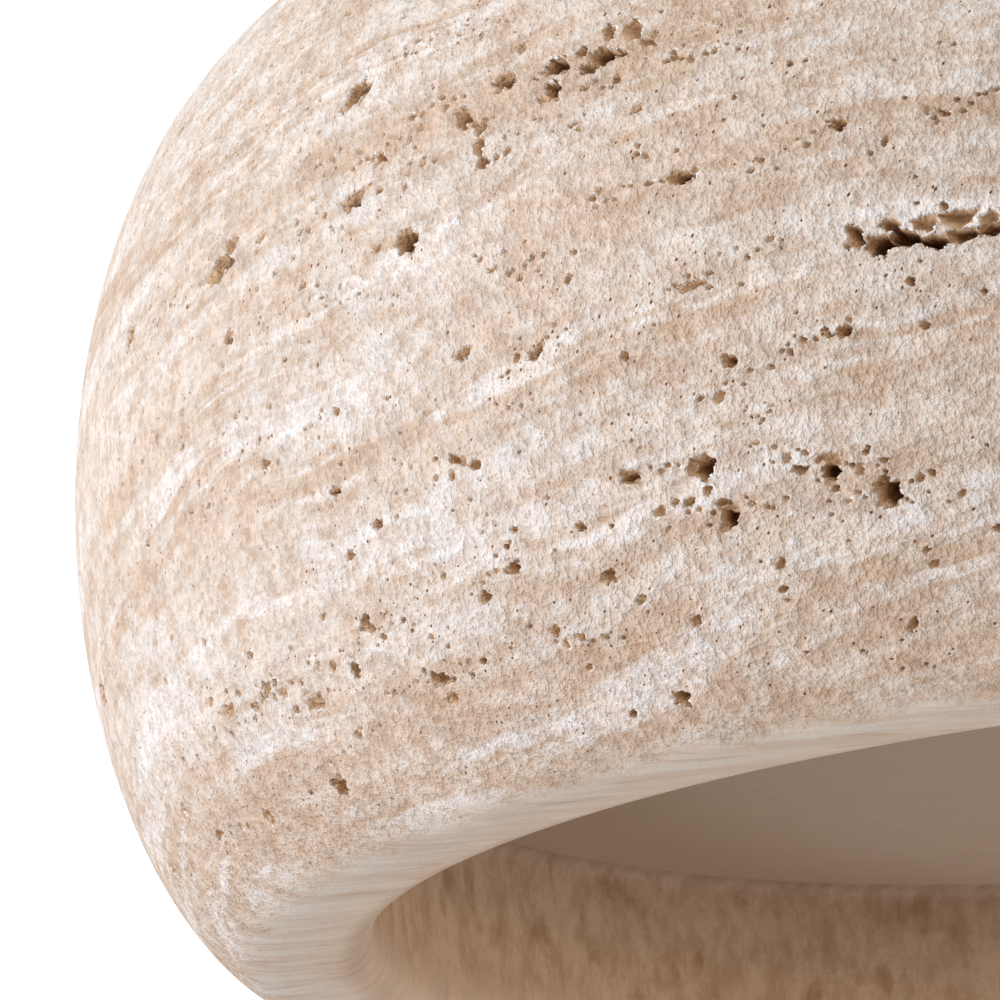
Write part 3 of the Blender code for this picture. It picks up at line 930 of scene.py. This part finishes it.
def stone_colour_group():
    """Colour of the beds: cream and tan bands, rose clouds, white veins, and two tints.

    One tint wanders; the other paints shade in the relief's crevices and highlight on its
    heights.
    """
    tree, given, out = new_group(
        "bed_colour",
        [("Vector", "Vector", None), ("Bed Vector", "Vector", None),
         ("Cream", "Color", None), ("Tan", "Color", None), ("Rose", "Color", None),
         ("Tan Bias", "Float", 0.0), ("Relief", "Float", 0.5),
         ("Painted Relief Shade", "Float", 1.0)],
        [("Color", "Color")])
    bed = given["Bed Vector"]
    bands = cloud(tree, bed, (11.0, 11.0, 130.0), 5.0, 0.62)
    lines = cloud(tree, bed, (28.0, 28.0, 420.0), 4.0, 0.66, (3.0, 1.0, 7.0))
    clouds = cloud(tree, bed, (75.0, 75.0, 330.0), 4.0, 0.74, (9.0, 4.0, 2.0))
    mixed = weighed(tree, (bands, 0.42), (lines, 0.3), (clouds, 0.28),
                    (given["Tan Bias"], 0.05))
    colour = blend_colour(tree, ramp(tree, mixed, 0.44, 0.57), given["Cream"], given["Tan"])
    rose = cloud(tree, bed, (28.0, 28.0, 70.0), 1.0, shift=(2.0, 8.0, 5.0))
    colour = blend_colour(tree, ramp(tree, rose, 0.48, 0.68, 0.0, 0.6), colour, given["Rose"])
    white = cloud(tree, bed, (18.0, 18.0, 190.0), 4.0, 0.7, (7.0, 3.0, 4.0))
    colour = blend_colour(tree, ramp(tree, white, 0.53, 0.63, 0.0, 0.7), colour, WHITE_VEIN)
    tint = cloud(tree, given["Vector"], 230.0, 3.0, 0.8)
    warmth = blend_colour(tree, ramp(tree, tint, 0.34, 0.66), *WARM_TO_COOL)
    colour = blend_colour(tree, 1.0, colour, warmth, 'MULTIPLY')
    # Painted shade in the relief's crevices and painted highlight on its heights, from the
    # noise that also drives the bump.
    painted_relief_shading = blend_colour(tree, ramp(tree, given["Relief"], 0.34, 0.64), *PAINTED_SHADE_TO_HIGHLIGHT)
    colour = blend_colour(tree, given["Painted Relief Shade"], colour,
                          blend_colour(tree, 1.0, colour, painted_relief_shading, 'MULTIPLY'))
    set_inputs(tree, out, {"Color": colour})
    return tree


def pinhole_group():
    """Pinholes for painted shade: balls strewn in the stone, one to a cell, cut open by the
    surface.

    The share of the cells with a ball is the coverage, and the radius is in cells.
    """
    tree, given, out = new_group(
        "pinhole_shade",
        [("Vector", "Vector", None), ("Scale", "Float", 500.0), ("Radius", "Float", 0.13),
         ("Coverage", "Float", 0.6)],
        [("Mask", "Float")])
    cells = add_node(tree, "ShaderNodeTexVoronoi",
                     {"Vector": given["Vector"], "Scale": given["Scale"]},
                     feature='F1', voronoi_dimensions='3D')
    draw = add_node(tree, "ShaderNodeSeparateColor", {0: cells.outputs["Color"]}).outputs
    present = calculate(tree, 'LESS_THAN', draw[0], given["Coverage"])
    radius = times(tree, given["Radius"], ramp(tree, draw[1], 0.0, 1.0, 0.55, 1.3))
    ball = ramp(tree, cells.outputs["Distance"], radius, times(tree, radius, 0.45))
    set_inputs(tree, out, {"Mask": times(tree, ball, present)})
    return tree


def rim_group():
    """Layers cut by the rim's flat face: soft bands, and fine broken lines between them.

    The lines are where a noise, drawn out along X, passes its middle value.
    """
    tree, given, out = new_group("rim_layers", [("Vector", "Vector", None)],
                                 [("Bands", "Float"), ("Lines", "Float")])
    point = given["Vector"]
    bands = cloud(tree, point, (42.0, 280.0, 42.0), 3.0, 0.74)
    veins = cloud(tree, point, (26.0, 230.0, 26.0), 2.0, 0.55, (2.0, 5.0, 1.0))
    off = calculate(tree, 'ABSOLUTE', calculate(tree, 'SUBTRACT', veins, 0.5))
    line = ramp(tree, off, 0.0, 0.035, 1.0, 0.0)
    broken = ramp(tree, cloud(tree, point, (70.0, 160.0, 70.0), 1.0), 0.42, 0.62)
    set_inputs(tree, out, {"Bands": ramp(tree, bands, 0.38, 0.62),
                           "Lines": times(tree, line, broken)})
    return tree


def stain_group():
    """Brown stains in the hollow: upright streaks and soft dots."""
    tree, given, out = new_group("hollow_stains", [("Vector", "Vector", None)],
                                 [("Mask", "Float")])
    point = given["Vector"]
    streak = ramp(tree, cloud(tree, point, (260.0, 260.0, 150.0), 4.0, 0.76), 0.34, 0.66)
    dot = ramp(tree, cloud(tree, point, (190.0, 190.0, 120.0), 1.0), 0.56, 0.72)
    set_inputs(tree, out, {"Mask": weighed(tree, (streak, 0.65), (dot, 0.55))})
    return tree


def use_group(tree, group, inputs):
    """Place a node group in a material and give its inputs their values."""
    return add_node(tree, "ShaderNodeGroup", inputs, node_tree=group).outputs


def vertex_mask(tree, name):
    node = tree.nodes.new("ShaderNodeAttribute")
    node.attribute_name = name
    return node.outputs["Fac"]


def travertine(settings):
    """Porous banded stone: honed on the wall, polished on the rim and in the hollow."""
    material, tree, shader = new_material("travertine")
    point = tree.nodes.new("ShaderNodeTexCoord").outputs["Object"]
    bed = use_group(tree, bedding_group(), {"Vector": point})["Vector"]
    past = vertex_mask(tree, "past_shoulder")
    ragged = calculate(tree, 'SUBTRACT', cloud(tree, point, 220.0, 2.0), 0.5)
    polish = ramp(tree, calculate(tree, 'MULTIPLY_ADD', ragged, 0.9, past), *POLISH_STARTS)
    honed = calculate(tree, 'SUBTRACT', 1.0, polish)
    inside = ramp(tree, past, *HOLLOW_STARTS)
    relief = weighed(tree, (cloud(tree, point, 330.0, 1.0), 0.4),
                     (cloud(tree, point, 1050.0, 2.0, 0.72), 0.6))
    colour = use_group(tree, stone_colour_group(), {
        "Vector": point, "Bed Vector": bed, "Cream": settings.cream, "Tan": settings.tan,
        "Rose": settings.rose, "Tan Bias": ramp(tree, past, -3.0, -1.2, -0.3, 1.1),
        "Relief": relief, "Painted Relief Shade": calculate(tree, 'MULTIPLY_ADD', honed, 0.75, 0.2),
    })["Color"]

    crowd = ramp(tree, cloud(tree, bed, (60.0, 60.0, 400.0), 3.0), 0.44, 0.59, 0.05, 1.0)
    patches = ramp(tree, cloud(tree, bed, (22.0, 22.0, 60.0), 1.0, shift=(5.0, 5.0, 5.0)),
                   0.38, 0.6, 0.45, 1.0)
    # Pinholes are painted shade only: dark dots where holes would be, on the honed wall away
    # from the pits.
    holes = use_group(tree, pinhole_group(), {
        "Vector": leaning(tree, point), "Scale": 1150.0, "Radius": 0.19,
        "Coverage": times(tree, crowd, patches)})["Mask"]
    depth = vertex_mask(tree, "pit_depth")
    flat = times(tree, honed, ramp(tree, depth, 0.06, 0.0))
    pinhole_shade = times(tree, holes, flat)

    layers = use_group(tree, rim_group(), {"Vector": point})
    rim = blend_colour(tree, ramp(tree, past, 0.3, 1.7), RIM_FACE, RIM_ROLL)
    rim = blend_colour(tree, times(tree, layers["Bands"], 0.7), rim, RIM_BAND)
    rim = blend_colour(tree, times(tree, layers["Lines"], 0.6), rim, RIM_LINE)

    stains = use_group(tree, stain_group(), {"Vector": point})["Mask"]
    # Painted light and shade on the hollow's wall: lighter near the rim, darker toward the
    # floor, and darkest on the round into the floor.
    shade = times(tree, ramp(tree, past, 2.3, 4.1, 1.2, 0.84),
                  ramp(tree, past, 4.1, 4.35, 1.0, 0.62))
    shade = add_node(tree, "ShaderNodeCombineColor", {0: shade, 1: shade, 2: shade})
    wall = blend_colour(tree, 1.0, blend_colour(tree, stains, HOLLOW_WALL_TONE_AND_SHADE, HOLLOW_STAIN),
                        shade.outputs[0], 'MULTIPLY')
    wall = blend_colour(tree, ramp(tree, past, *FLOOR_STARTS), wall, HOLLOW_FLOOR_TONE_AND_SHADE)

    # Over the stone: a painted highlight on the pits' lips, the cavities' warm tone with
    # painted shade that grows with depth, painted shade in the pinholes, the polished rim, and
    # the hollow's tone with painted shade.
    for share, tint in ((times(tree, vertex_mask(tree, "painted_lip_highlight"), 0.9), PAINTED_LIP_HIGHLIGHT),
                        (ramp(tree, depth, 0.0, 0.16), settings.pit_tone_and_shade),
                        (ramp(tree, depth, 0.16, 0.85), settings.painted_pit_shade),
                        (ramp(tree, pinhole_shade, 0.0, 0.45), PAINTED_PINHOLE_SHADE_EDGE),
                        (ramp(tree, pinhole_shade, 0.45, 1.0), PAINTED_PINHOLE_SHADE_HEART),
                        (times(tree, polish, 0.8), rim),
                        (times(tree, inside, 0.9), wall)):
        colour = blend_colour(tree, share, colour, tint)

    rough = calculate(tree, 'MULTIPLY_ADD', honed, settings.roughness - POLISHED_ROUGHNESS,
                      POLISHED_ROUGHNESS)
    rough = calculate(tree, 'MULTIPLY_ADD', inside, 0.3, rough)
    strength = calculate(tree, 'MULTIPLY_ADD', honed, 0.86, 0.14)
    bump = add_node(tree, "ShaderNodeBump", {"Height": relief, "Strength": strength,
                                             "Distance": RELIEF_HEIGHT})
    set_inputs(tree, shader, {"Base Color": colour, "Roughness": rough,
                              "Specular IOR Level": 0.35, "Normal": bump.outputs["Normal"]})
    return material


class BOWL_OT_stage(bpy.types.Operator):
    """Lay the floor and set the lights"""

    bl_idname = "bowl.stage"
    bl_label = "Studio"

    def execute(self, context):
        settings = context.scene.bowl_studio
        half = settings.floor_width / 2
        mesh = bpy.data.meshes.new("floor")
        mesh.from_pydata([(-half, -half, 0), (half, -half, 0), (half, half, 0),
                          (-half, half, 0)], [], [(0, 1, 2, 3)])
        material, tree, shader = new_material("lit_floor")
        set_inputs(tree, shader, {
            "Base Color": (0.0, 0.0, 0.0), "Roughness": 0.9, "Specular IOR Level": 0.0,
            "Emission Color": (1.0, 1.0, 1.0), "Emission Strength": settings.floor_glow})
        mesh.materials.append(material)
        add_object("floor", mesh)
        powers = (settings.key_power, settings.fill_power, settings.rim_power)
        for light, power in zip(LIGHTS, powers):
            area_light(*light, power)
        world = bpy.data.worlds.new("studio")
        world.use_nodes = True
        set_inputs(world.node_tree, world.node_tree.nodes["Background"],
                   {"Color": WORLD_COLOUR, "Strength": WORLD_STRENGTH})
        context.scene.world = world
        context.scene.view_settings.view_transform = 'Standard'
        return {'FINISHED'}


def area_light(name, place, size, colour, power):
    data = bpy.data.lights.new(name, 'AREA')
    data.energy = power
    data.color = colour
    data.size = size
    light = add_object(name, data)
    light.location = place
    toward = Vector((0.0, 0.0, HEIGHT / 2)) - light.location
    light.rotation_euler = toward.to_track_quat('-Z', 'Y').to_euler()


class BOWL_OT_camera(bpy.types.Operator):
    """Set the camera close to the front, rolled over"""

    bl_idname = "bowl.camera"
    bl_label = "Camera"

    def execute(self, context):
        data = bpy.data.cameras.new("camera")
        data.lens = LENS
        data.sensor_width = SENSOR
        data.clip_start = 0.01
        camera = add_object("camera", data)
        level = Vector((math.cos(CAMERA_YAW), -math.sin(CAMERA_YAW), 0.0))
        ahead = Vector((math.sin(CAMERA_YAW) * math.cos(CAMERA_PITCH),
                        math.cos(CAMERA_YAW) * math.cos(CAMERA_PITCH),
                        -math.sin(CAMERA_PITCH)))
        upward = level.cross(ahead)
        right = math.cos(CAMERA_ROLL) * level + math.sin(CAMERA_ROLL) * upward
        top = -math.sin(CAMERA_ROLL) * level + math.cos(CAMERA_ROLL) * upward
        turn = Matrix((right, top, -ahead)).transposed()
        camera.matrix_world = Matrix.Translation(CAMERA_PLACE) @ turn.to_4x4()
        context.scene.camera = camera
        return {'FINISHED'}


class BOWL_PT_panel(bpy.types.Panel):
    """Sidebar panel with the bowl's settings"""

    bl_idname = "BOWL_PT_panel"
    bl_label = "Travertine Bowl"
    bl_space_type = 'VIEW_3D'
    bl_region_type = 'UI'
    bl_category = "Bowl"

    def draw(self, context):
        layout = self.layout
        for settings in (context.scene.bowl_stone, context.scene.bowl_studio):
            box = layout.box()
            for name in settings.__annotations__:
                box.prop(settings, name)
        for operator in (BOWL_OT_camera, BOWL_OT_stone, BOWL_OT_stage):
            layout.operator(operator.bl_idname)


CLASSES = (BowlStone, BowlStudio, BOWL_OT_camera, BOWL_OT_stone, BOWL_OT_stage,
           BOWL_PT_panel)


def register():
    for each in CLASSES:
        bpy.utils.register_class(each)
    bpy.types.Scene.bowl_stone = PointerProperty(type=BowlStone)
    bpy.types.Scene.bowl_studio = PointerProperty(type=BowlStudio)


def unregister():
    del bpy.types.Scene.bowl_studio
    del bpy.types.Scene.bowl_stone
    for each in reversed(CLASSES):
        bpy.utils.unregister_class(each)


def main():
    register()
    bpy.ops.bowl.camera()
    bpy.ops.bowl.stone()
    bpy.ops.bowl.stage()


if __name__ == "__main__":
    main()
